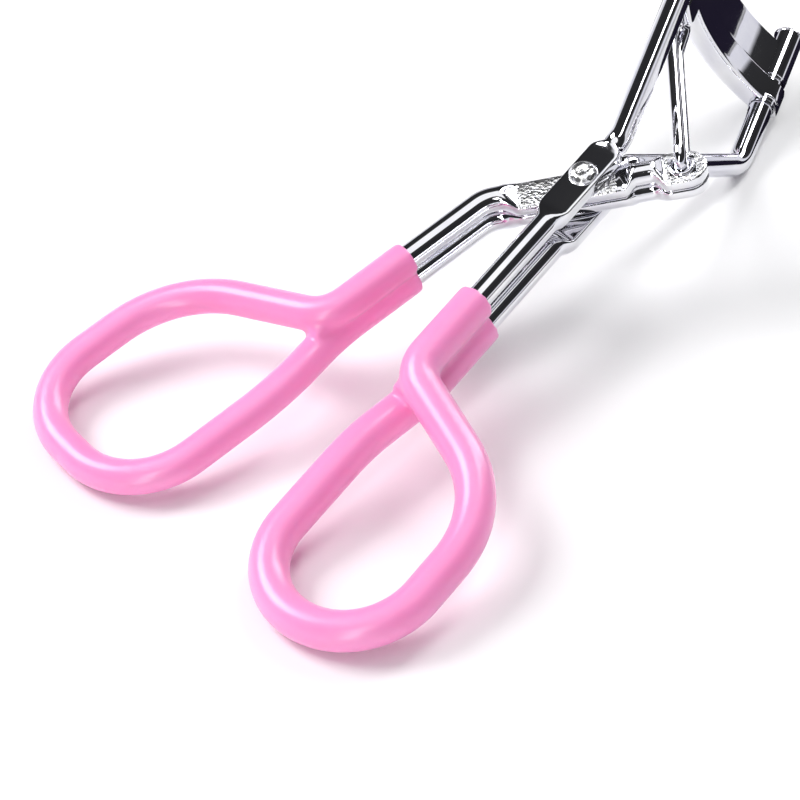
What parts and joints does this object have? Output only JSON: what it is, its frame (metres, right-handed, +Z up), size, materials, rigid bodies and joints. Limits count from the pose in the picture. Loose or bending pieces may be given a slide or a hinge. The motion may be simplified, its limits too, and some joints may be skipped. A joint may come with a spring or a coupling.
{
  "type": "eyelash curler",
  "caption": "Eyelash curler with scissor handles bent from wire, dipped finger loops, a linked sliding jaw and a fixed curved jaw.",
  "frame": {"origin": "centre of the footprint on the table, under the tool as it lies on its side", "axes": "+X from the finger loops to the jaws, +Y towards the lever's finger loop, +Z up"},
  "size_m": [0.114, 0.0614, 0.0455],
  "materials": {
    "wire": "bright polished plating",
    "rivet": "bright plating with hammered dimples",
    "jaw_sheet": "bright polished plating on pressed sheet",
    "grip": "glossy soft dipped coat",
    "pad": "satin silicone"
  },
  "bodies": {
    "frame": {"frame_wire": "wire", "frame_grip": "grip", "rivet": "rivet", "fixed_jaw": "jaw_sheet"},
    "lever": {"lever_wire": "wire", "lever_grip": "grip"},
    "link": {"link": "wire"},
    "jaw": {"moving_jaw": "jaw_sheet", "jaw_pad": "pad"}
  },
  "joints": [
    {"name": "handle_pivot", "type": "hinge", "parent": "frame", "child": "lever", "pos_m": [0.00796, -0.00333, 0.01527], "axis": [0.2023, 0, -0.9793], "range_deg": [0, 34]},
    {"name": "link_pivot", "type": "hinge", "parent": "lever", "child": "link", "pos_m": [0.01639, -0.01081, 0.01701], "axis": [-0.2023, 0, 0.9793], "range_deg": [0, 38]},
    {"name": "jaw_slide", "type": "slide", "parent": "frame", "child": "jaw", "axis": [-0.8933, -0.4099, -0.1845], "range_m": [0, 0.0072]}
  ],
  "couplings": [
    {"joint": "link_pivot", "follows": "handle_pivot", "ratio": 1.088},
    {"joint": "jaw_slide", "follows": "handle_pivot", "m_per_rad": 0.011848}
  ]
}
